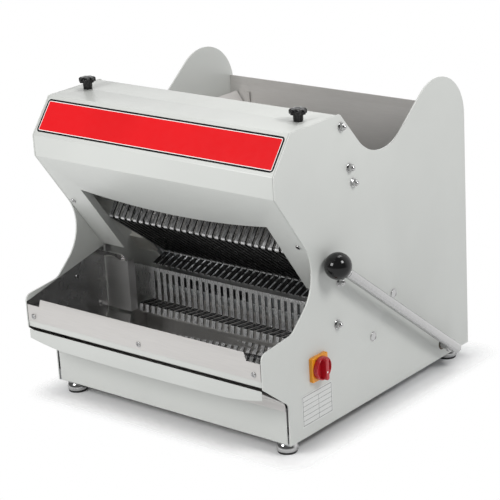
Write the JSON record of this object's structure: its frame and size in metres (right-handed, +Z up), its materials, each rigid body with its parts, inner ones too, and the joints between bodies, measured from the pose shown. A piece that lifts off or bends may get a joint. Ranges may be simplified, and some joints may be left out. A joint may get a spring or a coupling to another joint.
{
  "type": "bench-top bread slicer",
  "caption": "Bench-top electric bread slicer with a hand lever that swings a slotted pusher through reciprocating blades, a removable hood and a pull-out crumb tray.",
  "frame": {"origin": "middle of the whole machine on the surface that its feet stand on", "axes": "+Z up, +Y from the front mouth towards the back, +X towards the side with the lever"},
  "size_m": [0.6672, 0.6835, 0.638],
  "materials": {
    "painted_white": "smooth white-grey powder coat",
    "red_band": "glossy red film with a black and white outline",
    "brushed_stainless": "brushed stainless sheet",
    "polished_stainless": "bright annealed stainless sheet that mirrors the combs",
    "comb_steel": "stainless strips with a dull edge",
    "blade_steel": "ground blade steel",
    "turned_steel": "turned shaft steel",
    "bright_chrome": "bright chrome plate",
    "zinc_steel": "zinc plated sheet steel",
    "cast_aluminium": "machined aluminium",
    "cast_housing": "painted cast iron",
    "bronze": "sintered bronze",
    "motor_grey": "grey enamel",
    "black_plastic": "moulded black plastic",
    "gloss_black": "polished black phenolic",
    "black_rubber": "black rubber",
    "white_nylon": "machined nylon",
    "yellow_plastic": "moulded yellow plastic",
    "red_plastic": "moulded red plastic",
    "silver_label": "silver film with a printed empty grid"
  },
  "bodies": {
    "machine": {"side_plate_right": "painted_white", "side_plate_left": "painted_white", "hood_cover": "painted_white", "front_band": "red_band", "hood_brackets": "zinc_steel", "cross_tubes": "zinc_steel", "tube_plugs": "bright_chrome", "hopper_front_plate": "painted_white", "hopper_rear_plate": "brushed_stainless", "hopper_guides": "brushed_stainless", "drive_deck": "brushed_stainless", "rear_panel": "painted_white", "base_pan": "zinc_steel", "base_front_panel": "painted_white", "front_rail": "painted_white", "lip_plate": "brushed_stainless", "slice_tray": "polished_stainless", "side_guards": "polished_stainless", "outfeed_comb": "comb_steel", "tray_runners": "zinc_steel", "blade_guides": "white_nylon", "crank_bearings": "cast_housing", "shaft_bushes": "bronze", "arm_buffers": "black_rubber", "motor_body": "motor_grey", "motor_cowl": "motor_grey", "motor_bridge": "zinc_steel", "terminal_box": "black_plastic", "drive_belt": "black_rubber", "switch_body": "black_plastic", "switch_cover": "zinc_steel", "isolator_plate": "yellow_plastic", "rating_label": "silver_label", "dome_nuts": "bright_chrome", "panel_screws": "bright_chrome", "foot_brackets": "zinc_steel", "foot_bells": "bright_chrome", "foot_pads": "black_rubber", "cable_gland": "black_plastic"},
    "pusher": {"pusher_arms": "zinc_steel", "pusher_bar": "zinc_steel", "pusher_fingers": "comb_steel", "pusher_shaft": "turned_steel", "lever_rod": "bright_chrome", "lever_ball": "gloss_black"},
    "front_blades": {"blade_frame_front": "cast_aluminium", "blades_front": "blade_steel", "drive_links_front": "cast_aluminium"},
    "rear_blades": {"blade_frame_rear": "cast_aluminium", "blades_rear": "blade_steel", "drive_links_rear": "cast_aluminium"},
    "crank": {"crankshaft": "turned_steel", "driven_pulley": "cast_housing"},
    "motor_rotor": {"motor_shaft": "turned_steel", "motor_pulley": "cast_housing"},
    "crumb_tray": {"crumb_tray_front": "painted_white", "crumb_pan": "brushed_stainless"},
    "switch_handle": {"isolator_handle": "red_plastic"},
    "left_knob": {"knob_left": "gloss_black"},
    "right_knob": {"knob_right": "gloss_black"}
  },
  "joints": [
    {"name": "pusher_swing", "type": "hinge", "parent": "machine", "child": "pusher", "pos_m": [-0.0204, 0.236, 0.055], "axis": [-1, 0, 0], "range_deg": [0, 45]},
    {"name": "front_blade_slide", "type": "slide", "parent": "machine", "child": "front_blades", "axis": [0, -0.5779, 0.8161], "range_m": [-0.008, 0.008]},
    {"name": "rear_blade_slide", "type": "slide", "parent": "machine", "child": "rear_blades", "axis": [0, -0.5779, 0.8161], "range_m": [-0.008, 0.008]},
    {"name": "crank_spin", "type": "hinge", "parent": "machine", "child": "crank", "pos_m": [-0.0204, 0.12035, 0.09434], "axis": [1, 0, 0], "continuous": true},
    {"name": "motor_spin", "type": "hinge", "parent": "machine", "child": "motor_rotor", "pos_m": [-0.0204, 0.221, 0.173], "axis": [1, 0, 0], "continuous": true},
    {"name": "crumb_tray_slide", "type": "slide", "parent": "machine", "child": "crumb_tray", "axis": [0, -1, 0], "range_m": [0, 0.38]},
    {"name": "isolator_turn", "type": "hinge", "parent": "machine", "child": "switch_handle", "pos_m": [0.2796, -0.181, 0.153], "axis": [1, 0, 0], "range_deg": [0, 90]},
    {"name": "left_knob_spin", "type": "hinge", "parent": "machine", "child": "left_knob", "pos_m": [-0.2824, -0.154, 0.613], "axis": [0, 0, 1], "continuous": true},
    {"name": "right_knob_spin", "type": "hinge", "parent": "machine", "child": "right_knob", "pos_m": [0.2416, -0.154, 0.613], "axis": [0, 0, 1], "continuous": true}
  ],
  "couplings": [
    {"joint": "rear_blade_slide", "follows": "front_blade_slide", "ratio": -1},
    {"joint": "motor_spin", "follows": "crank_spin", "ratio": 1.4573}
  ]
}
